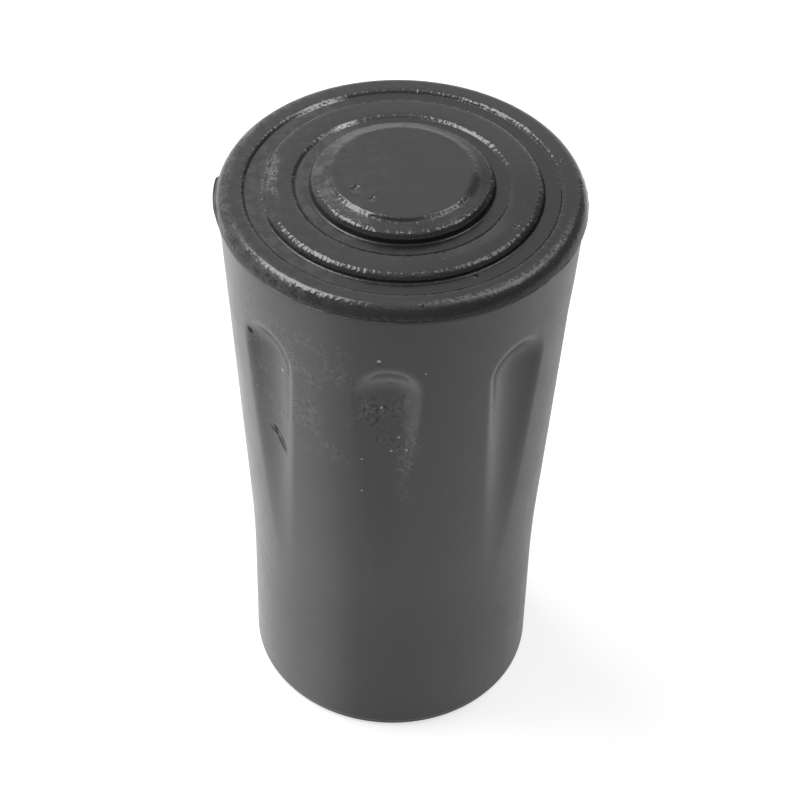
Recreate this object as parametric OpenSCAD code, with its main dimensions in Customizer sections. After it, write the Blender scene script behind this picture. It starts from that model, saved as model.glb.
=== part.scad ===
// Rubber tip for a cane or walking pole, moulded in one piece.
// It stands on its open mouth with the tread up. The origin is the centre of the mouth,
// and one flute faces -Y.

/* [Side wall] */
// Height of the mould's parting line above the mouth
parting_z = 50.4; // [46:0.2:58]
// Diameter of the sleeve at the mouth
mouth_d = 24.6; // [23:0.1:26]
// Diameter of the sleeve at its waist, where the flare begins
waist_d = 24.4; // [23:0.1:26]
// Height of the waist
waist_z = 15; // [12:0.5:18]
// Radius of the curve that leads the waist into the flare
waist_round = 150; // [40:10:160]
// Rounding of the outer edge at the mouth
mouth_round = 0.5; // [0.2:0.1:1]

/* [Rim] */
// Diameter of the rim, just above the parting line
rim_d = 28.5; // [27.5:0.1:31]
// How far the rim stands out past the wall below it
rim_step = 0.2; // [0.1:0.05:0.5]
// Height of the straight band between the parting line and the rounded edge
rim_band = 0.1; // [0.05:0.05:0.5]
// Rounding of the rim's upper edge
rim_round = 1; // [0.5:0.1:1.4]
// How far the moulding flash stands out past the rim
flash_reach = 0.12; // [0.05:0.01:0.3]
// Thickness of the moulding flash
flash_t = 0.12; // [0.08:0.01:0.25]

/* [Tread] */
// Inner diameter of the flat land inside the rim
land_inner_d = 24.1; // [23.2:0.1:25]
// Depth of the outer channel below the land
outer_channel = 0.23; // [0.1:0.01:0.5]
// Diameter of the raised ring at its foot
ring_d = 21.7; // [20.5:0.1:22.6]
// Height of the raised ring above the outer channel
ring_h = 0.68; // [0.4:0.02:1.2]
// Rounding of the raised ring's outer edge
ring_round = 0.45; // [0.1:0.05:0.5]
// Inner diameter of the raised ring
ring_inner_d = 16.4; // [15.6:0.1:18]
// Depth of the inner channel below the raised ring
inner_channel = 0.2; // [0.1:0.01:0.5]
// Diameter of the middle boss at its foot
boss_d = 14.2; // [13:0.1:14.8]
// Diameter of the flat top of the boss
boss_top_d = 10.9; // [9:0.1:12]
// Height of the upright side of the boss
boss_side_h = 0.8; // [0.5:0.05:1.5]
// Height of the sloping shoulder of the boss
boss_slope_h = 0.42; // [0.2:0.02:0.8]
// Rounding of the outer edge of the boss
boss_round = 0.4; // [0.1:0.05:0.5]
// Rounding of the edge round the flat top of the boss
boss_top_round = 1.2; // [0.2:0.1:2]
// How far the upright sides of the ring and the boss lean in
tread_draft = 0.1; // [0.04:0.02:0.2]
// Width of the slope at the inner edge of the land and of the ring
step_w = 0.2; // [0.06:0.02:0.25]
// Rounding of the upper edge of those slopes
step_round = 0.5; // [0.1:0.05:0.5]

/* [Flutes] */
// Number of flutes round the flare
flute_count = 8; // [6:1:9]
// Radius of the tool that leaves each flute
flute_tool_r = 4.6; // [3.6:0.1:5]
// Distance from the axis to the floor of a flute
flute_floor_r = 12.6; // [12.4:0.05:13.2]
// Distance from the parting line down to where the round end of a flute begins
flute_drop = 8.2; // [7:0.1:14]

/* [Bore] */
// Diameter of the bore that grips the shaft
bore_d = 12; // [9:0.5:14]
// Depth of the bore from the mouth
bore_depth = 38; // [25:1:40]
// Size of the bevel at the mouth of the bore
bore_lead = 0.8; // [0.4:0.1:1.2]
// Rounding where the bore meets its closed end
bore_end_round = 0.8; // [0.4:0.1:1.5]

/* [Hidden] */
$fn = 144;
// Segments in the arc that rounds one corner of the section
corner_steps = 7;
// How far a cutter reaches past the surface that it opens
spare = 1;

rim_r = rim_d / 2;
wall_r = rim_r - rim_step;
land_z = parting_z + rim_band + rim_round;
outer_floor_z = land_z - outer_channel;
ring_z = outer_floor_z + ring_h;
inner_floor_z = ring_z - inner_channel;
boss_side_z = inner_floor_z + boss_side_h;
boss_z = boss_side_z + boss_slope_h;
flute_end_z = parting_z - flute_drop;
flute_axis_r = flute_floor_r + flute_tool_r;

// Half section of the whole tip, from the closed end of the bore round to the boss.
// Each corner is [distance from the axis, height, rounding].
corners = [
    [0, bore_depth, 0],
    [bore_d / 2, bore_depth, bore_end_round],
    [bore_d / 2, bore_lead, 0],
    [bore_d / 2 + bore_lead, 0, 0],
    [mouth_d / 2, 0, mouth_round],
    [waist_d / 2, waist_z, waist_round],
    [wall_r, parting_z - rim_step / 2, 0],
    [rim_r + flash_reach, parting_z, 0],
    [rim_r + flash_reach, parting_z + flash_t / 2, 0],
    [rim_r, parting_z + rim_band, 0],
    [rim_r, land_z, rim_round],
    [land_inner_d / 2 + step_w, land_z, step_round],
    [land_inner_d / 2, outer_floor_z, 0],
    [ring_d / 2, outer_floor_z, 0],
    [ring_d / 2 - tread_draft, ring_z, ring_round],
    [ring_inner_d / 2 + step_w, ring_z, step_round],
    [ring_inner_d / 2, inner_floor_z, 0],
    [boss_d / 2, inner_floor_z, 0],
    [boss_d / 2 - tread_draft, boss_side_z, boss_round],
    [boss_top_d / 2, boss_z, boss_top_round],
    [0, boss_z, 0]
];

function unit(v) = v / norm(v);

// Points of the arc that rounds corner b, between its neighbours a and c
function arc_points(a, b, c, r) =
    let (
        u = unit(a - b),
        v = unit(c - b),
        half = acos(u * v) / 2,
        mid = b + unit(u + v) * r / sin(half),
        start = b + u * r / tan(half) - mid,
        end = b + v * r / tan(half) - mid,
        from = atan2(start[1], start[0]),
        turn = atan2(end[1], end[0]) - from,
        sweep = turn > 180 ? turn - 360 : turn < -180 ? turn + 360 : turn
    )
    [for (i = [0:corner_steps]) mid + r * [cos(from + sweep * i / corner_steps),
                                           sin(from + sweep * i / corner_steps)]];

function flat(p) = [p[0], p[1]];

function rounded(p) = [
    for (i = [0:len(p) - 1])
        each p[i][2] == 0 ? [flat(p[i])]
            : arc_points(flat(p[i - 1]), flat(p[i]), flat(p[i + 1]), p[i][2])
];

// The solid of revolution, with its bore and the rings of its tread
module turned_form() {
    rotate_extrude() polygon(rounded(corners));
}

// What is taken away for one flute: a straight round bar with a ball end
module flute_cutter() {
    rotate_extrude() intersection() {
        union() {
            circle(r = flute_tool_r);
            translate([0, -flute_end_z]) square([flute_tool_r, flute_end_z]);
        }
        translate([0, -flute_end_z]) square([flute_tool_r + spare, flute_end_z + flute_tool_r + spare]);
    }
}

module rubber_tip() {
    color("#4b4b4b") difference() {
        turned_form();
        for (i = [0:flute_count - 1])
            rotate([0, 0, i * 360 / flute_count])
                translate([0, -flute_axis_r, flute_end_z]) flute_cutter();
    }
}

rubber_tip();
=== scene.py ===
import math
from types import SimpleNamespace

import bpy
import numpy as np
from mathutils import Matrix, Vector, noise


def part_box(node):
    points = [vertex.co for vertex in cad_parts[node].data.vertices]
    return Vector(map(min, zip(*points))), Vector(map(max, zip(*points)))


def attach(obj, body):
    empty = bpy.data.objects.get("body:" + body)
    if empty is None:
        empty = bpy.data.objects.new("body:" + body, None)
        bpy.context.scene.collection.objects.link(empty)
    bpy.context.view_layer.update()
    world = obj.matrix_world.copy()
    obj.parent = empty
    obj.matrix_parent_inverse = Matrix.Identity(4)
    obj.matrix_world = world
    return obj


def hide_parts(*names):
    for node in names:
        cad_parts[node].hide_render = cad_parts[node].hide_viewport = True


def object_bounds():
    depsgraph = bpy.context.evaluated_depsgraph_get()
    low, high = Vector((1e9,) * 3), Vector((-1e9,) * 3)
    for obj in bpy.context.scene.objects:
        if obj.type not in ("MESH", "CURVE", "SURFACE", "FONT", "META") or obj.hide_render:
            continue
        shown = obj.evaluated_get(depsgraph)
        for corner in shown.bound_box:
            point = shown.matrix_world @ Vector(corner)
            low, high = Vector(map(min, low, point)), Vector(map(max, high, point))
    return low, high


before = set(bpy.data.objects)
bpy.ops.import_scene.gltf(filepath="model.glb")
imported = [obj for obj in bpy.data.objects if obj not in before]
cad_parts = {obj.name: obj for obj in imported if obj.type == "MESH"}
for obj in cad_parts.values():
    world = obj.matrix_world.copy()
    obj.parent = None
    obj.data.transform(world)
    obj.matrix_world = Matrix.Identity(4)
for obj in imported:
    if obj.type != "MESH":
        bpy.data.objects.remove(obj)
cadLow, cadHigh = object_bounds()
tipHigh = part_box("rubber_tip")[1]
mm = 0.001

# The rubber tip, in millimetres. The section is the one that the solid was turned to.
tip = {
    "topZ": tipHigh.z / mm,
    "flashR": tipHigh.x / mm,
    "flashReach": 0.12,
    # corners of the flash: how far past the rim and how far above the parting line
    "flashSection": [(0.06, -0.01), (0.12, 0.01), (0.1, 0.05), (0.048, 0.07)],
    "rimStep": 0.2,
    "rimStepRound": 0.06,
    "rimBand": 0.1,
    "rimBandRound": 0.02,
    "rimRound": 1.0,
    "landInnerR": 12.05,
    "landSlope": 0.238,          # width of the slope from the land down into the outer channel
    "outerChannel": 0.23,
    "ringR": 10.85,
    "ringHigh": 0.68,
    "ringRound": 0.45,
    "ringCrownR": 9.5,
    "ringCrown": 0.04,           # how far the inner edge of the ring lies below its middle
    "ringCrownRound": (0.8, 0.8),
    "ringInnerR": 8.2,
    "ringSlope": 0.272,          # width of the slope from the ring down into the inner channel
    "innerChannel": 0.2,
    "slopeRound": (0.24, 0.2),   # upper edge of those two slopes
    "slopeFoot": 0.05,
    "bossR": 7.1,
    "bossTopR": 5.42,
    "bossHigh": 1.22,
    "bossRound": (0.5, 0.42),
    "bossStepFoot": (0.07, 0.08),
    "bossTopRound": (0.14, 0.1),
    "lean": 0.05,                # how far the upright sides of the ring and the boss lean in
    "footRound": 0.14,
    "mouthR": 12.3,
    "mouthRound": 0.5,
    "waistR": 12.2,
    "waistZ": 15.0,
    "waistRound": 150.0,
    # the rows of the wall are closest between the middle and the upper of these heights
    "fluteLowZ": 20.0,
    "fluteMidZ": 36.0,
    "fluteHighZ": 47.0,
    "boreR": 6.0,
    "boreDeep": 38.0,
    "boreLead": 0.8,
    "boreLeadRound": 0.1,
    "boreMouthRound": 0.15,
    "boreEndRound": 0.8,
    "columns": 432,
    "sharpAngle": 50.0,          # edges above so many degrees are shaded sharp
}

# The tread is worn at the front, where the tip rolls off the ground, and is nearly as moulded
# at the back. Heights say how far each place lies below the top of the boss or of the ring.
wornFront = {
    "bossStep": 0.17,        # foot of the small step round the top of the boss
    "bossStepWide": 0.29,
    "bossShoulder": 0.4,     # outer edge of the gentle slope below that step
    "ringEdge": 0.06,        # outer edge of the ring
    "ringReach": 0.6,        # how far in the rounding of that edge reaches
    "rimLean": 0.4,          # how far the flank of the rim leans in
    "rimRound": (0.9, 0.62),
}
wornBack = {
    "bossStep": 0.09,
    "bossStepWide": 0.27,
    "bossShoulder": 0.66,
    "ringEdge": 0.08,
    "ringReach": 0.9,
    "rimLean": 0.2,
    "rimRound": (0.8, 0.75),
}
frontSpread = 0.6            # how abruptly the front turns into the back

# The step of the boss is worn deepest in the middle of the front
bossWear = {
    "deep": 0.1,
    "spread": 17.0,          # degrees
    "soft": 0.25,
    "clear": 0.3,            # how far it stays off the upright side and above the ring
}

# The outer edge of the ring is rubbed away at the left
ringWear = {
    "start": -112.0,         # degrees round from the front
    "end": -58.0,
    "soft": 14.0,
    "innerR": 9.7,
    "drop": 0.5,
    "least": 0.15,           # share of the ring's height that is left at the least
}

flute = {
    "count": 8,
    "toolR": 4.6,
    "floorR": 12.6,
    "drop": 8.5,             # from the parting line down to where the round end begins
    "softEdge": 0.36,        # how far the worn edge of a flute is blended
    "softEnd": 0.2,          # and how much further round its end
    "halfAngle": 13.0,       # degrees on each side of a flute that get the closer columns
    "closeShare": 0.68,      # share of the columns that lie there
}

flash = {
    "halfHigh": 0.2,         # above and below the parting line
    "trim": 0.5,             # share of its reach that is trimmed away
    "waverBroad": 0.9,       # and how much that share wavers, broadly and finely
    "waverFine": 0.5,
    "mostTrim": 0.95,
    "tornFrom": -96.0,       # degrees round from the front, where the torn sliver starts
    "tornTo": -64.0,
    "tornRise": 2.5,         # degrees over which it stands up at that end
    "tornFall": 24.0,
    "tornReach": 0.07,
    "tornFoot": 0.06,
    "tornLift": 0.26,
}


def unit(v):
    return v / np.linalg.norm(v)


# Points that round corner b between its neighbours. The size is the radius of an arc,
# or how far the rounding reaches towards a and towards c.
def roundedCorner(a, b, c, size, steps):
    u, v = unit(a - b), unit(c - b)
    half = math.acos(max(-1.0, min(1.0, float(u @ v)))) / 2
    reachA, reachC = size if isinstance(size, tuple) else (size / math.tan(half), size / math.tan(half))
    start, end = b + u * reachA, b + v * reachC
    pull = math.sin(half)
    points = []
    for s in np.linspace(0, 1, steps + 1):
        first, mid, last = (1 - s) ** 2, 2 * pull * s * (1 - s), s ** 2
        points.append((first * start + mid * b + last * end) / (first + mid + last))
    return points


# Heights that follow from the sizes
def addHeights(t):
    rimR = t["flashR"] - t["flashReach"]
    innerFloor = t["topZ"] - t["bossHigh"]
    ringZ = innerFloor + t["innerChannel"]
    outerFloor = ringZ - t["ringHigh"]
    landZ = outerFloor + t["outerChannel"]
    partingZ = landZ - t["rimRound"] - t["rimBand"]
    t.update(rimR=rimR, wallR=rimR - t["rimStep"], innerFloor=innerFloor, ringZ=ringZ,
             outerFloor=outerFloor, landZ=landZ, partingZ=partingZ, fluteEndZ=partingZ - flute["drop"])


# Corners of the half section: radius, height, rounding, steps in the rounding, and rows in the
# straight after it
def sectionCorners(t, worn):
    bossZ, ringZ, partingZ, waistZ = t["topZ"], t["ringZ"], t["partingZ"], t["waistZ"]
    foot, slopeRound, slopeFoot = t["footRound"], t["slopeRound"], t["slopeFoot"]

    def onWall(z):
        return t["waistR"] + (t["wallR"] - t["waistR"]) * (z - waistZ) / (partingZ - waistZ), z

    flashCorners = [(t["rimR"] + past, partingZ + above) for past, above in t["flashSection"]]
    return [
        (0.0, t["boreDeep"], 0, 0, 3),
        (t["boreR"], t["boreDeep"], t["boreEndRound"], 4, 4),
        (t["boreR"], t["boreLead"], t["boreLeadRound"], 2, 2),
        (t["boreR"] + t["boreLead"], 0.0, t["boreMouthRound"], 2, 4),
        (t["mouthR"], 0.0, t["mouthRound"], 5, 6),
        (t["waistR"], waistZ, t["waistRound"], 6, 2),
        (*onWall(t["fluteLowZ"]), 0, 0, 14),
        (*onWall(t["fluteMidZ"]), 0, 0, 36),
        (*onWall(t["fluteHighZ"]), 0, 0, 3),
        (t["wallR"], partingZ - t["rimStep"] / 2, t["rimStepRound"], 2, 3),
        *[(*corner, 0, 0, 0) for corner in flashCorners[:-1]],
        (*flashCorners[-1], 0, 0, 1),
        (t["rimR"], partingZ + t["rimBand"], t["rimBandRound"], 1, 1),
        (t["rimR"] - worn["rimLean"], t["landZ"], worn["rimRound"], 12, 3),
        (t["landInnerR"] + t["landSlope"], t["landZ"], slopeRound, 4, 1),
        (t["landInnerR"], t["outerFloor"], slopeFoot, 3, 4),
        (t["ringR"], t["outerFloor"], foot, 4, 1),
        (t["ringR"] - t["lean"], ringZ - worn["ringEdge"], (t["ringRound"], worn["ringReach"]), 11, 2),
        (t["ringCrownR"], ringZ, t["ringCrownRound"], 5, 2),
        (t["ringInnerR"] + t["ringSlope"], ringZ - t["ringCrown"], slopeRound, 4, 1),
        (t["ringInnerR"], t["innerFloor"], slopeFoot, 3, 3),
        (t["bossR"], t["innerFloor"], foot, 4, 2),
        (t["bossR"] - t["lean"], bossZ - worn["bossShoulder"], t["bossRound"], 9, 2),
        (t["bossTopR"] + worn["bossStepWide"], bossZ - worn["bossStep"], t["bossStepFoot"], 3, 1),
        (t["bossTopR"], bossZ, t["bossTopRound"], 5, 7),
        (0.0, bossZ, 0, 0, 0),
    ]


# Rings of the mesh, from the closed end of the bore round to the middle of the boss.
# Each straight has a ring close to both its ends, which keeps it flat beside a rounding.
def sectionRings(corners, support=0.06):
    turns = []
    for i, (r, z, radius, steps, _) in enumerate(corners):
        here = np.array([r, z])
        if radius:
            before = np.array(corners[i - 1][:2])
            after = np.array(corners[i + 1][:2])
            turns.append(roundedCorner(before, here, after, radius, steps))
        else:
            turns.append([here])
    rings = []
    for points, following, corner in zip(turns, turns[1:], corners):
        rings.extend(points)
        a, b = points[-1], following[0]
        length = np.linalg.norm(b - a)
        near = min(support, length / 4)
        rows = corner[4]
        for s in (np.linspace(near, length - near, rows) if rows > 1 else [length / 2] * rows):
            rings.append(a + (b - a) * s / length)
    rings.extend(turns[-1])
    return np.array(rings)


# Angles of the columns, closer together across each flute
def columnAngles(count):
    each = count // flute["count"]
    close = round(each * flute["closeShare"])
    wide = each - close
    pitch = 360 / flute["count"]
    half = flute["halfAngle"]
    pattern = np.concatenate([
        np.linspace(-half, half, close, endpoint=False),
        np.linspace(half, pitch - half, wide, endpoint=False),
    ])
    return np.radians(np.concatenate([pattern + pitch * i for i in range(flute["count"])]))


def softMin(a, b, blend):
    h = np.maximum(blend - np.abs(a - b), 0) / blend
    return np.minimum(a, b) - h * h * blend / 4


def smoothStep(x):
    x = np.clip(x, 0, 1)
    return x * x * (3 - 2 * x)


# A line that wavers round the tip, with more swings the larger that number is
def waver(angles, swings, seed):
    around = [(swings * math.cos(a) + seed, swings * math.sin(a) - seed, 2 * seed) for a in angles]
    return np.array([[noise.noise(Vector(spot)) for spot in around]])


def wearBoss(ringR, ringZ, degrees, t, w):
    onBoss = (ringR < t["bossR"] - w["clear"]) & (ringZ > t["ringZ"] + w["clear"])
    onSlope = smoothStep((ringR - t["bossTopR"]) / w["soft"]) * onBoss
    return ringZ - w["deep"] * onSlope * np.exp(-(degrees / w["spread"]) ** 2)


def wearRing(ringR, ringZ, degrees, t, w):
    share = smoothStep((degrees - w["start"]) / w["soft"]) * smoothStep((w["end"] - degrees) / w["soft"])
    fall = w["drop"] * smoothStep((ringR - w["innerR"]) / (t["ringR"] - w["innerR"]))
    worn = np.maximum(ringZ - fall * share, t["outerFloor"] + w["least"] * (ringZ - t["outerFloor"]))
    onRing = (ringR > w["innerR"]) & (ringR < t["ringR"] + 0.05) & (ringZ > t["outerFloor"] + 0.02)
    return np.where(onRing, worn, ringZ)


# Distance from the axis to the inner side of the round-ended bar that leaves a flute
def fluteReach(angle, z, t):
    pitch = 2 * math.pi / flute["count"]
    off = (angle + pitch / 2) % pitch - pitch / 2
    axisR = flute["floorR"] + flute["toolR"]
    above = np.maximum(0, z - t["fluteEndZ"])
    barSquared = flute["toolR"] ** 2 - above ** 2
    inside = barSquared - (axisR * np.sin(off)) ** 2
    return np.where(inside > 0, axisR * np.cos(off) - np.sqrt(np.maximum(inside, 0)), axisR)


def cutFlutes(ringR, ringZ, turn, t):
    wall = (ringR > t["waistR"] - 0.5) & (ringZ < t["partingZ"])
    nearEnd = smoothStep((ringZ - t["fluteEndZ"]) / flute["toolR"] + 0.1)
    blend = flute["softEdge"] + flute["softEnd"] * nearEnd
    return np.where(wall, softMin(ringR, fluteReach(turn, ringZ, t), blend), ringR)


# The flash is uneven, trimmed short in places, and torn at one side, where it stands up
def trimFlash(ringR, ringZ, angles, degrees, t, f):
    out = (ringR - t["rimR"]) / t["flashReach"]
    onFlash = (out > 0.02) & (np.abs(ringZ - t["partingZ"]) < f["halfHigh"])
    lifted = smoothStep((out - 0.45) / 0.5)
    broad = waver(angles, 2.5, 3.1)
    fine = waver(angles, 14, 7.7)
    uneven = np.clip(f["waverBroad"] * broad + f["waverFine"] * fine - f["trim"], -f["mostTrim"], 0.0)
    torn = (smoothStep((degrees - f["tornFrom"]) / f["tornRise"])
            * smoothStep((f["tornTo"] - degrees) / f["tornFall"]))
    foot = f["tornFoot"] * (out > 0.3) * (1 - lifted)
    trimmed = out * t["flashReach"] * uneven * (1 - torn) + torn * (lifted * f["tornReach"] + foot)
    raised = torn * lifted * f["tornLift"] * (0.75 + 0.5 * fine)
    return ringR + np.where(onFlash, trimmed, 0), ringZ + np.where(onFlash, raised, 0)


# Faces between the rings, and fans at the closed end of the bore and in the middle of the boss
def tipFaces(rows, columns):
    i, j = np.meshgrid(np.arange(rows - 1), np.arange(columns), indexing="ij")
    beside = (j + 1) % columns
    quads = np.stack([i * columns + j, i * columns + beside, (i + 1) * columns + beside,
                      (i + 1) * columns + j], -1).reshape(-1, 4)
    faces = [tuple(q) for q in quads.tolist()]
    boreEnd, bossMiddle = rows * columns, rows * columns + 1
    last = (rows - 1) * columns
    for k in range(columns):
        after = (k + 1) % columns
        faces.append((after, k, boreEnd))
        faces.append((last + k, last + after, bossMiddle))
    return faces


def makeTip(t):
    addHeights(t)
    front = sectionRings(sectionCorners(t, wornFront))[1:-1]
    back = sectionRings(sectionCorners(t, wornBack))[1:-1]
    angles = columnAngles(t["columns"])
    frontShare = smoothStep(0.5 + frontSpread * np.cos(angles))
    ringR, ringZ = (np.outer(front[:, k], frontShare) + np.outer(back[:, k], 1 - frontShare)
                    for k in (0, 1))
    turn = np.outer(np.ones(len(front)), angles)
    degrees = (np.degrees(turn) + 180) % 360 - 180

    ringZ = wearBoss(ringR, ringZ, degrees, t, bossWear)
    ringZ = wearRing(ringR, ringZ, degrees, t, ringWear)
    ringR = cutFlutes(ringR, ringZ, turn, t)
    ringR, ringZ = trimFlash(ringR, ringZ, angles, degrees, t, flash)

    places = np.stack([ringR * np.sin(turn), -ringR * np.cos(turn), ringZ], -1).reshape(-1, 3)
    places = np.concatenate([places, [[0, 0, t["boreDeep"]], [0, 0, t["topZ"]]]]) * mm
    faces = tipFaces(*ringR.shape)
    mesh = bpy.data.meshes.new("rubberTip")
    mesh.from_pydata(places.tolist(), [], faces)
    mesh.update()
    mesh.shade_smooth()
    mesh.set_sharp_from_angle(angle=math.radians(t["sharpAngle"]))
    piece = bpy.data.objects.new("rubber_tip_moulding", mesh)
    bpy.context.scene.collection.objects.link(piece)
    print("tip:", len(front), "rings of", t["columns"], "and", len(faces), "faces")
    return piece


# A shader socket that can be used in ordinary sums
class Wire:
    def __init__(self, net, socket):
        self.net = net
        self.socket = socket

    def join(self, operation, *values):
        return self.net.node("ShaderNodeMath", {"operation": operation}, dict(enumerate(values)))

    def __add__(self, other):
        return self.join("ADD", self, other)

    def __radd__(self, other):
        return self.join("ADD", other, self)

    def __sub__(self, other):
        return self.join("SUBTRACT", self, other)

    def __rsub__(self, other):
        return self.join("SUBTRACT", other, self)

    def __mul__(self, other):
        return self.join("MULTIPLY", self, other)

    def __rmul__(self, other):
        return self.join("MULTIPLY", other, self)

    def __truediv__(self, other):
        return self.join("DIVIDE", self, other)

    def __rtruediv__(self, other):
        return self.join("DIVIDE", other, self)

    def __pow__(self, other):
        return self.join("POWER", self, other)


# The nodes of one material or of the world
class Net:
    def __init__(self, owner):
        owner.use_nodes = True
        self.tree = owner.node_tree
        self.tree.nodes.clear()

    def node(self, kind, settings=None, sockets=None, output=0):
        made = self.tree.nodes.new(kind)
        for name, value in (settings or {}).items():
            setattr(made, name, value)
        for name, value in (sockets or {}).items():
            if isinstance(value, Wire):
                self.tree.links.new(value.socket, made.inputs[name])
            else:
                made.inputs[name].default_value = value
        return Wire(self, made.outputs[output] if made.outputs else None)

    # 0 below start and 1 above end, with soft ends; start may be the higher one
    def fade(self, value, start, end):
        if start > end:
            return 1 - self.fade(value, end, start)
        return self.node("ShaderNodeMapRange", {"interpolation_type": "SMOOTHSTEP"},
                         {"Value": value, "From Min": start, "From Max": end})

    # 1 between low and high
    def between(self, value, low, high, soft):
        return self.fade(value, low - soft, low + soft) * self.fade(value, high + soft, high - soft)

    # 1 on each mark of a list that says where they lie, both ways
    def marks(self, across, along, rows):
        return sum(self.between(across, *first) * self.between(along, *second) for first, second in rows)

    def clamp(self, value):
        return self.node("ShaderNodeClamp", {}, {"Value": value})

    def point(self, x, y, z):
        return self.node("ShaderNodeCombineXYZ", {}, {"X": x, "Y": y, "Z": z})

    def clouds(self, place, size, detail, roughness):
        return self.node("ShaderNodeTexNoise", {}, {"Vector": place, "Scale": 1 / size, "Detail": detail,
                                                    "Roughness": roughness})

    # Small round spots: 1 in the middle of some cells of that size, and 0 elsewhere
    def spots(self, place, cell, radius, share):
        settings = {"feature": "F1", "voronoi_dimensions": "3D"}
        sockets = {"Vector": place, "Scale": 1 / cell, "Randomness": 1.0}
        near = self.node("ShaderNodeTexVoronoi", settings, sockets, "Distance")
        tint = self.node("ShaderNodeTexVoronoi", settings, sockets, "Color")
        pick = self.node("ShaderNodeSeparateColor", {}, {"Color": tint}, "Red")
        chosen = self.node("ShaderNodeMath", {"operation": "LESS_THAN"}, {0: pick, 1: share})
        return self.fade(near, radius / cell, 0.35 * radius / cell) * chosen


# The finish. Sizes, heights and depths are in millimetres.
rubber = {
    "tone": 0.016,           # how much light clean rubber gives back
    "dustTone": 0.2,         # the same for the dust on it
    "chipTone": 0.4,         # added where it is chipped
    # the near-black that painted shade in holes, tears and creases is mixed towards
    "hollowTone": 0.008,     # and what holes give back
    "roughness": 0.2,
    "sunkDull": 0.08,        # extra roughness in the channels, and so on
    "rimDull": 0.08,
    "rightDull": 0.2,
    "smudgeDull": 0.35,
    "dustDull": 0.25,
    "gloss": 1.47,           # index of refraction
    "dotSize": 0.2,
    "grainSize": 0.3,
    "grainHigh": 0.04,
    "crumbSize": 0.36,
    "crumbHigh": 0.06,
    "swellSize": 0.9,
    "swellHigh": 0.03,
    "blotchSize": 3.5,
    "broadSize": 9.0,
    "ridgeEvery": 1.6,       # degrees between the ripples on the rounded edges
    "ridgeHigh": 0.05,
    "dragHigh": 0.003,
    "speckHigh": 0.01,
    "scuffHigh": 0.03,
    "pitDeep": 0.03,
    "flatGrain": 0.1,        # how much of the grain the rest of the surface has
    # small round spots: size of the cells, radius, and share of the cells that have one
    "specks": (1.15, 0.1, 0.16),
    "fineSpecks": (0.55, 0.055, 0.2),
    "flecks": (0.6, 0.11, 0.3),
    "pits": (1.7, 0.16, 0.1),
    # from which to which radius each rounded edge of the tread reaches
    "edges": [(5.4, 5.9), (6.5, 7.0), (8.15, 8.7), (10.3, 10.9), (12.0, 12.6), (13.5, 14.3)],
    "edgeSoft": 0.12,
    "perDegree": 0.24,       # how far one degree is on the side
}

# Marks on the tread. Each row says between which degrees round from the front a mark lies
# and how soft its ends are, and then the same for its distance from the axis.
bossWall, ringWall = tip["bossR"], tip["ringR"]
ringFoot, landFoot = tip["ringInnerR"], tip["landInnerR"]
treadMarks = {
    "ringScuff": [((-103.0, -79.0, 5.0), (9.6, 10.7, 0.3))],
    # paler at the left of the boss: mottled dust, and painted light from the lamp at the left
    "bossScuff": [((-165.0, -65.0, 12.0), (5.4, 7.0, 0.25))],
    # painted shade that dims the reflection on the slope of the boss at the back right
    "bossDark": [((85.0, 165.0, 12.0), (6.0, 6.8, 0.12))],
    "smear": [((26.0, 62.0, 9.0), (8.4, 9.3, 0.3))],
    # a darker patch on the right of the slope of the boss
    "smudge": [((64.0, 92.0, 6.0), (5.2, 5.95, 0.22))],
    "nick": [((-118.0, -112.0, 1.5), (13.4, 14.0, 0.15))],
    # the rim at the right front: duller, with a painted highlight on it
    "dullRim": [((10.0, 75.0, 10.0), (13.0, 15.0, 0.2))],
    # painted highlights on the inner edges of the ring and of the land at the back left
    "rubbed": [
        ((-150.0, -138.0, 4.0), (ringFoot - 0.05, ringFoot + 0.3, 0.08)),
        ((-152.0, -135.0, 5.0), (landFoot - 0.1, landFoot + 0.22, 0.1)),
    ],
    # painted shade at the foot of the ring and of the land at the left, and on the upright walls at the
    # right
    "creviced": [
        ((-122.0, -62.0, 14.0), (ringFoot - 0.08, ringFoot + 0.22, 0.07)),
        ((-124.0, -66.0, 14.0), (landFoot - 0.06, landFoot + 0.14, 0.06)),
        ((48.0, 112.0, 16.0), (bossWall - 0.3, bossWall + 0.06, 0.08)),
        ((48.0, 112.0, 16.0), (ringWall - 0.22, ringWall + 0.06, 0.07)),
    ],
}

# Marks on the side, with heights in place of distances from the axis
sideMarks = {
    "dusty": [((-56.0, -9.0, 7.0), (34.0, 47.5, 3.0)), ((3.0, 10.0, 2.5), (31.0, 42.5, 2.0))],
    # dust, and a painted highlight, along the right edge of the flute at the left
    "chafed": [((-37.5, -32.0, 1.0), (38.5, 45.5, 0.8))],    # right edge of the flute at the left
    "patch": [((-8.5, 4.0, 2.5), (36.5, 41.2, 1.2))],        # crumbly, in the front flute
}

# A tear in the flute to the left of the front one
tear = {
    "at": (-44.0, 32.7),
    "along": (0.176, -0.66),     # for each degree and each millimetre up
    "across": (0.155, 0.75),
    "reach": ((-1.2, 1.3, 0.3), (-0.5, 0.45, 0.15)),
    "stretch": (0.7, 3.6),       # of its strands
}

# Pale chips on the side: degrees round from the front, height, and radius
chips = [
    (-3.3, 46.2, 0.14),
    (-41.4, 40.6, 0.14),
    (-34.3, 42.8, 0.1),
    (11.2, 44.9, 0.08),
    (1.0, 35.6, 0.1),
    (-2.8, 40.3, 0.12),
    (-8.9, 34.9, 0.08),
    (-8.9, 31.2, 0.08),
    (3.5, 37.2, 0.1),
    (6.2, 36.0, 0.1),
]

# Small holes on the side, in the same way
holes = [
    (-54.5, 43.1, 0.22),
    (-3.3, 45.9, 0.06),
    (-35.6, 42.6, 0.08),
]

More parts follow.
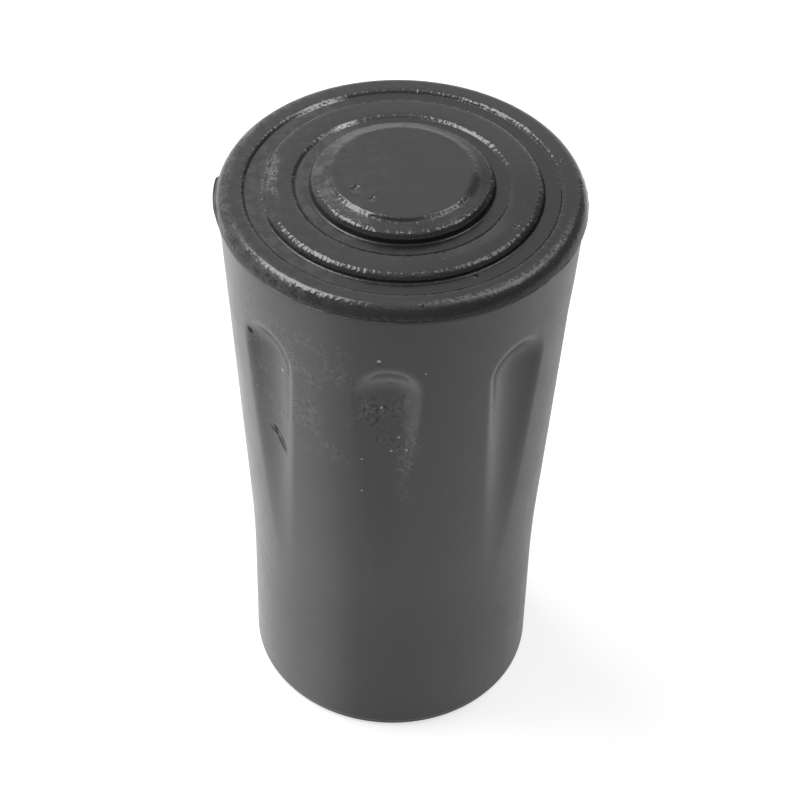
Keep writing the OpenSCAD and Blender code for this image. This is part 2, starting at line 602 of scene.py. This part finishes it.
# Small round pits and pips on the tread: place, radius, and height, which is below 0 for a pit
pips = [
    (-3.4, -2.4, 0.5, -0.28),
    (-2.08, -3.48, 0.36, -0.2),
    (8.79, -4.54, 0.3, -0.14),
    (5.97, -9.6, 0.22, 0.12),
    (2.19, -13.22, 0.2, 0.1),
    (12.1, 4.17, 0.22, 0.12),
    (8.04, 0.37, 0.18, 0.1),
]


# Where a point of the tip lies, and the unevenness there, from fine to broad
def readPlaces(net, f, t):
    s = SimpleNamespace()
    metres = net.node("ShaderNodeTexCoord", {}, {}, "Object")
    s.place = net.node("ShaderNodeVectorMath", {"operation": "SCALE"}, {0: metres, "Scale": 1 / mm})
    s.x, s.y, s.z = (net.node("ShaderNodeSeparateXYZ", {}, {0: s.place}, axis) for axis in "XYZ")
    s.radius = (s.x * s.x + s.y * s.y) ** 0.5
    # degrees round from the front, to the right
    s.turn = net.node("ShaderNodeMath", {"operation": "ARCTAN2"}, {0: s.x, 1: -1 * s.y}) * math.degrees(1)
    facing = net.node("ShaderNodeTexCoord", {}, {}, "Normal")
    s.leftward = net.node("ShaderNodeSeparateXYZ", {}, {0: facing}, "X") * -1

    s.dots = net.clouds(s.place, f["dotSize"], 1.0, 0.5)
    s.grain = net.clouds(s.place, f["grainSize"], 0.5, 0.5)
    s.crumbs = net.clouds(net.point(s.x, s.y, s.z * 0.7), f["crumbSize"], 1.5, 0.55)
    s.swell = net.clouds(s.place, f["swellSize"], 2.0, 0.5)
    s.blotch = net.clouds(s.place, f["blotchSize"], 3.0, 0.55)
    s.broad = net.clouds(s.place, f["broadSize"], 2.0, 0.5)
    # faint drag marks that run up the side
    s.drag = net.clouds(net.point(s.turn * 1.2, s.z * 0.12, 0.0), 1.0, 2.0, 0.6)

    s.tread = net.fade(s.z, t["partingZ"], t["partingZ"] + 0.3)
    s.side = (1 - s.tread) * net.fade(s.radius, 11.0, 11.6)
    s.rimTop = net.fade(s.radius, 12.9, 13.5)
    s.mouthEdge = net.fade(s.radius, t["mouthR"] - 0.55, t["mouthR"] - 0.4)
    # the floors of the two channels and the slope of the boss, which are never rubbed smooth
    sunk = [(t["bossR"], t["ringInnerR"] - 0.05, 0.05), (t["ringR"], t["landInnerR"] - 0.05, 0.05),
            (t["bossTopR"] + 0.3, t["bossR"] - 0.5, 0.1)]
    s.sunk = sum(net.between(s.radius, *reach) for reach in sunk) * s.tread
    return s


# How far off a spot on the side is, as a share of its radius
def awayFrom(s, spot, upScale, perDegree):
    at, level, wide = spot
    return (((s.turn - at) * perDegree) ** 2 + ((s.z - level) * upScale) ** 2) ** 0.5 / wide


# Marks, dust and dirt, and masks for painted light and painted shade, each from 0 to 1
def addMarks(net, s, f):
    def onTread(name, turn=s.turn):
        return net.marks(turn, s.radius, treadMarks[name]) * s.tread

    def onSide(name, turn=s.turn):
        return net.marks(turn, s.z, sideMarks[name]) * s.side

    s.specks, s.fineSpecks, s.flecks, s.pits = (
        net.spots(s.place, *f[name]) for name in ("specks", "fineSpecks", "flecks", "pits"))
    leaning = s.turn + 9 * (s.radius - 10)
    s.ringScuff = onTread("ringScuff", leaning) * (0.25 + net.fade(s.dots, 0.5, 0.64))
    s.ringScuff = s.ringScuff * net.fade(s.swell, 0.4, 0.6)
    # mottled dust and painted light at the left of the boss
    s.bossScuff = onTread("bossScuff") * net.fade(s.swell, 0.4, 0.62)
    # painted shade on the slope of the boss at the back right
    s.bossDark = onTread("bossDark")
    s.smear = onTread("smear") * s.blotch
    s.smudge = onTread("smudge")
    s.nick = onTread("nick")
    s.dullRim = onTread("dullRim")
    # painted highlights on edges at the back left
    s.rubbed = onTread("rubbed") * net.fade(s.dots, 0.3, 0.55)
    # painted shade in creases and on upright walls
    s.creviced = onTread("creviced") * net.fade(s.swell, 0.3, 0.5)
    # the left of the tread, made paler by dust specks and by painted light
    s.leftSide = net.between(s.turn, -150.0, -22.0, 16.0) * s.tread
    # painted shade: the tread is darker at the right, and in the channels everywhere but at the left
    s.clear = net.between(s.turn, 8.0, 110.0, 24.0) * net.fade(s.radius, 5.9, 6.2) * s.tread
    s.clearSunk = s.sunk * (1 - net.between(s.turn, -150.0, -18.0, 12.0))

    s.dusty = onSide("dusty") * net.fade(s.blotch, 0.38, 0.6)
    # dust and a painted highlight along the right edge of the flute at the left
    s.chafed = onSide("chafed") * net.fade(s.dots, 0.47, 0.58)
    s.patch = onSide("patch", s.turn + s.z - 39) * net.fade(s.blotch, 0.3, 0.55)
    # what faces left on the side is paler, partly from dust and partly as painted light from the lamp at
    # the left, and the right of it is duller
    s.film = net.fade(s.leftward, 0.16, 0.5) * s.side
    s.rightSide = net.fade(s.turn, 22.0, 60.0) * s.side
    s.chipped = sum(net.fade(awayFrom(s, chip, 1.0, f["perDegree"]), 1.4, 0.6) for chip in chips) * s.side
    s.holed = sum(net.fade(awayFrom(s, hole, 0.5, f["perDegree"]) + 0.8 * s.swell, 1.8, 0.8)
                  for hole in holes) * s.side
    right, up = s.turn - tear["at"][0], s.z - tear["at"][1]
    along, across = (right * tear[way][0] + up * tear[way][1] for way in ("along", "across"))
    drawn = net.point(along * tear["stretch"][0], across * tear["stretch"][1], 0.0)
    strands = net.clouds(drawn, 1.0, 1.0, 0.5)
    s.torn = net.fade(strands, 0.43, 0.5) * net.marks(along, across, [tear["reach"]]) * s.side


# How much of the surface shows dust, and where it is made paler as painted light or painted highlights
def dustAmount(net, s, t):
    crumbly = net.fade(s.crumbs, 0.52, 0.68)
    loose = 0.3 * crumbly + 0.22 * net.fade(s.dots, 0.46, 0.62) + 0.5 * s.fineSpecks + 0.8 * s.flecks
    # the paler film on what faces left is partly dust and partly painted light, and the paler edge of the
    # flute at the left is partly a painted highlight
    onSide = s.dusty * loose + s.film * (0.26 + 0.2 * s.blotch) + 0.45 * s.chafed
    inPatch = s.patch * (0.12 * crumbly + 0.96 * s.flecks + 0.25 * net.fade(s.dots, 0.54, 0.66))
    # this includes painted highlights on edges at the back left, and painted light at the left of the boss
    onTread = 0.6 * s.ringScuff + 0.12 * s.bossScuff + 0.25 * s.nick + 0.13 * s.smear + 0.8 * s.rubbed
    mottled = net.fade(s.swell, 0.4, 0.62) * (0.03 + 0.12 * s.sunk * s.crumbs + 0.22 * s.crumbs * s.rimTop)
    # at the left of the tread: dust specks, and painted light from the lamp at the left
    onLeft = s.leftSide * (mottled + 0.12 * net.fade(s.dots, 0.45, 0.6) * s.rimTop)
    # a painted highlight on the rim at the right front
    onRim = 0.3 * s.dullRim * net.between(s.radius, 13.0, 13.5, 0.15) * net.fade(s.dots, 0.42, 0.6)
    # a thin pale line just above the mouth
    mouthLine = 0.4 * net.between(s.z, 0.54, 0.72, 0.05) * s.mouthEdge
    # painted highlight along the edge of the flash, and painted light on its torn sliver
    low, high = t["partingZ"] + 0.03, t["partingZ"] + 0.1
    flashLine = 0.14 * net.between(s.z, low - 0.06, high, 0.02) * net.fade(s.radius, 14.0, 14.1)
    sliver = (0.35 * net.between(s.turn, -97.0, -66.0, 2.0) * net.fade(s.radius, 13.95, 14.1)
              * net.fade(s.z, low, high))
    everywhere = 0.02 + 0.3 * s.specks * (0.25 + s.dusty)
    lines = mouthLine + flashLine + sliver
    return net.clamp(everywhere + onSide + inPatch + onTread + onLeft + onRim + lines)


# Height of the fine unevenness and of the small marks
def fineHeight(net, s, f):
    # ripples that run out from the axis, on the rounded edges of the tread
    closer = 0.55 + 0.45 * net.fade(s.radius, 7.3, 7.6) + 0.15 * net.fade(s.radius, 11.3, 11.6)
    ripple = net.clouds(net.point(s.turn * closer / f["ridgeEvery"], s.radius * 0.5, 0.0), 1.0, 1.0, 0.4)
    edges = sum(net.between(s.radius, low, high, f["edgeSoft"]) for low, high in f["edges"]) * s.tread
    rim = net.fade(s.radius, 12.8, 13.2)
    rippled = (1 - 0.7 * net.between(s.radius, 8.0, 8.7, 0.1)) * (1 - 0.65 * net.fade(s.radius, 6.2, 6.0))
    rippled = rippled * (1 - 0.6 * s.dullRim) * (1 - 0.4 * rim)
    rippled = rippled * (1 - 0.95 * rim * (1 - net.between(s.turn, -46.0, 40.0, 8.0)))
    grained = f["flatGrain"] * (1 - 0.8 * s.side) + edges * (1 - 0.5 * s.dullRim)
    pip = sum(high * net.fade(((s.x - px) ** 2 + (s.y - py) ** 2) ** 0.5 / wide, 1.0, 0.0)
              for px, py, wide, high in pips)
    return (f["grainHigh"] * (s.grain - 0.5) * grained
            + f["swellHigh"] * (s.swell - 0.5) * (1 - 0.7 * s.side)
            + f["ridgeHigh"] * (ripple - 0.5) * edges * rippled
            + f["crumbHigh"] * (s.crumbs - 0.5) * 0.8 * (s.dusty + s.patch)
            + f["dragHigh"] * s.drag * s.side + f["speckHigh"] * s.specks + f["scuffHigh"] * s.ringScuff
            - f["pitDeep"] * s.pits + pip * s.tread)


def rubberFinish(f, t):
    made = bpy.data.materials.new("blackRubber")
    net = Net(made)
    s = readPlaces(net, f, t)
    addMarks(net, s, f)

    amount = dustAmount(net, s, t)
    shade = (0.86 + 0.28 * s.blotch) * (0.9 + 0.2 * s.broad) * (1 - 0.8 * s.smudge) * (1 - 0.6 * s.patch)
    # painted shade: the side is darker in the middle of the front
    shade = shade * (1 - 0.5 * s.side * net.between(s.turn, -12.0, 16.0, 12.0))
    # painted shade: darker at the right of the tread and in the channels
    clean = f["tone"] * shade * (1 - 0.6 * s.clear) * (1 - 0.75 * s.clearSunk)
    # chips are paler, and a painted highlight is added on edges at the back left
    tone = clean + amount * (f["dustTone"] - clean) + f["chipTone"] * (s.chipped + 0.5 * s.rubbed)
    colour = net.node("ShaderNodeCombineColor", {}, {"Red": tone, "Green": tone, "Blue": tone * 1.02})
    dull = f["roughness"] + 0.1 * (s.blotch - 0.5) + 0.08 * (s.swell - 0.5)
    dull = dull + f["sunkDull"] * s.sunk + f["rimDull"] * s.dullRim + f["rightDull"] * s.rightSide
    dull = dull + f["smudgeDull"] * s.smudge + f["dustDull"] * amount
    height = fineHeight(net, s, f)
    bumped = net.node("ShaderNodeBump", {}, {"Strength": 1.0, "Distance": mm, "Height": height})
    surface = net.node("ShaderNodeBsdfPrincipled", {}, {"Base Color": colour, "Roughness": dull,
                                                        "IOR": f["gloss"], "Normal": bumped})

    # painted shade, where little or no light comes back: holes, tears and creases, the slope of the boss
    # at the back right, the crumbly patch, a painted contact shadow at the mouth, and also the darker
    # patch on the right of the boss
    deep = 0.7 * s.torn + 0.8 * s.holed + 0.55 * s.creviced + 0.4 * s.smudge + 0.22 * s.bossDark
    deep = deep + net.fade(s.crumbs, 0.44, 0.36) * (0.5 * s.patch + 0.12 * s.dusty)
    # painted contact shadow at the foot of the mouth
    deep = deep + 0.6 * net.fade(s.z, 0.5, 0.36) * s.mouthEdge
    dark = f["hollowTone"]
    hollow = net.node("ShaderNodeBsdfDiffuse", {}, {"Color": (dark, dark, dark, 1)})
    both = net.node("ShaderNodeMixShader", {}, {0: net.clamp(deep), 1: surface, 2: hollow})
    net.node("ShaderNodeOutputMaterial", {}, {"Surface": both})
    print("finish: blackRubber,", len(net.tree.nodes), "nodes")
    return made


# The studio, in metres
studio = {
    "floorSize": 3.0,
    "floorZ": -0.00002,      # just clear of the mouth of the tip
    "floorTone": 0.5,
    "floorGlow": 0.65,       # added to what is seen of the floor
    "ambient": 0.35,
    "boardAway": 1.5,
    "boardGlow": 0.4,
    "boardLow": 4.0,         # degrees above the floor where the grey board begins and ends
    "boardHigh": 66.0,
    "boardLeft": -75.0,      # degrees round from the front
    "boardRight": 150.0,
    "boardAcross": 33,       # points of its mesh
    "boardUp": 17,
}

# Soft lamps: direction from the tip, distance and both widths in metres, how far they are turned
# in degrees, and how bright they make white
lamps = {
    "keyLamp": ((-0.458, 0.15, 0.876), 0.7, (0.26, 0.52), -106.0, 0.9),
    "sideLamp": ((0.436, 0.249, 0.865), 0.7, (0.2, 0.46), 100.0, 0.3),
}

camera = {
    "target": (0.279, 0.012, 28.622),   # millimetres, where its axis passes the middle of the tip
    "distance": 176.007,
    "azimuth": 2.272,                   # degrees, from the front towards the right
    "elevation": 44.816,
    "roll": 1.597,
    "lens": 94.68,
    "sensor": 36.0,
    "clip": (0.01, 10.0),               # metres
}


# 1 for what the camera sees, directly or by way of gloss or glass
def seenDirectly(net):
    kinds = ["Is Camera Ray", "Is Glossy Ray", "Is Transmission Ray"]
    direct, glossy, through = (net.node("ShaderNodeLightPath", {}, {}, kind) for kind in kinds)
    return net.clamp(direct + glossy + through)


def addPiece(name, places, faces, material):
    mesh = bpy.data.meshes.new(name)
    mesh.from_pydata(places, [], faces)
    mesh.materials.append(material)
    piece = bpy.data.objects.new(name, mesh)
    bpy.context.scene.collection.objects.link(piece)
    return piece


def makeFloor(s):
    made = bpy.data.materials.new("paleFloor")
    net = Net(made)
    tone = s["floorTone"]
    matt = net.node("ShaderNodeBsdfDiffuse", {}, {"Color": (tone, tone, tone, 1)})
    glow = s["floorGlow"] * seenDirectly(net)
    white = net.node("ShaderNodeEmission", {}, {"Color": (1, 1, 1, 1), "Strength": glow})
    both = net.node("ShaderNodeAddShader", {}, {0: matt, 1: white})
    net.node("ShaderNodeOutputMaterial", {}, {"Surface": both})
    half, low = s["floorSize"] / 2, s["floorZ"]
    corners = [(-half, -half, low), (half, -half, low), (half, half, low), (-half, half, low)]
    floor = addPiece("floor", corners, [(0, 1, 2, 3)], made)


# A grey board in front of the tip, behind the camera, which shows in the gloss
def makeBoard(s, middle):
    across, up = s["boardAcross"], s["boardUp"]
    places = []
    for turn in np.radians(np.linspace(s["boardLeft"], s["boardRight"], across)):
        for rise in np.radians(np.linspace(s["boardLow"], s["boardHigh"], up)):
            flat = math.cos(rise)
            toward = Vector((math.sin(turn) * flat, -math.cos(turn) * flat, math.sin(rise)))
            places.append(middle + s["boardAway"] * toward)
    faces = []
    for i in range(across - 1):
        for j in range(up - 1):
            k = i * up + j
            faces.append((k, k + up, k + up + 1, k + 1))
    made = bpy.data.materials.new("greyBoard")
    net = Net(made)
    glow = net.node("ShaderNodeEmission", {}, {"Color": (1, 1, 1, 1), "Strength": s["boardGlow"]})
    net.node("ShaderNodeOutputMaterial", {}, {"Surface": glow})
    board = addPiece("greyBoard", places, faces, made)
    board.visible_camera = False


def makeWorld(s):
    world = bpy.data.worlds.new("studio")
    bpy.context.scene.world = world
    net = Net(world)
    level = s["ambient"]
    room = net.node("ShaderNodeBackground", {}, {"Color": (level, level, level, 1), "Strength": 1.0})
    white = net.node("ShaderNodeBackground", {}, {"Color": (1, 1, 1, 1), "Strength": 1.0})
    mixed = net.node("ShaderNodeMixShader", {}, {0: seenDirectly(net), 1: room, 2: white})
    net.node("ShaderNodeOutputWorld", {}, {"Surface": mixed})


def makeLamps(places, middle):
    for name, (direction, distance, widths, turn, level) in places.items():
        data = bpy.data.lights.new(name, "AREA")
        data.shape = "RECTANGLE"
        data.size, data.size_y = widths
        data.energy = level * (math.pi * distance) ** 2
        lamp = bpy.data.objects.new(name, data)
        toward = Vector(direction).normalized()
        lamp.location = middle + toward * distance
        spin = Matrix.Rotation(math.radians(turn), 3, "Z")
        lamp.rotation_euler = (toward.to_track_quat("Z", "Y").to_matrix() @ spin).to_euler()
        lamp.visible_camera = False
        bpy.context.scene.collection.objects.link(lamp)
    print("lamps:", ", ".join(places))


def makeCamera(c):
    data = bpy.data.cameras.new("camera")
    data.lens = c["lens"]
    data.sensor_width = c["sensor"]
    data.clip_start, data.clip_end = c["clip"]
    eye = bpy.data.objects.new("camera", data)
    turn, rise = math.radians(c["azimuth"]), math.radians(c["elevation"])
    back = Vector((math.sin(turn) * math.cos(rise), -math.cos(turn) * math.cos(rise), math.sin(rise)))
    right = Vector((math.cos(turn), math.sin(turn), 0))
    level = Matrix((right, back.cross(right), back)).transposed()
    roll = Matrix.Rotation(math.radians(c["roll"]), 3, back)
    stand = Matrix.Translation((Vector(c["target"]) + back * c["distance"]) * mm)
    eye.matrix_world = stand @ (roll @ level).to_4x4()
    bpy.context.scene.collection.objects.link(eye)
    bpy.context.scene.camera = eye
    print("camera:", c["distance"], "mm away, lens", c["lens"], "mm")


moulding = makeTip(tip)
moulding.data.materials.append(rubberFinish(rubber, tip))
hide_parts("rubber_tip")
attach(moulding, "root")

middle = (cadLow + cadHigh) / 2
makeFloor(studio)
makeBoard(studio, middle)
makeWorld(studio)
print("studio: floor, board and world")
makeLamps(lamps, middle)
makeCamera(camera)
bpy.context.scene.view_settings.view_transform = "Standard"
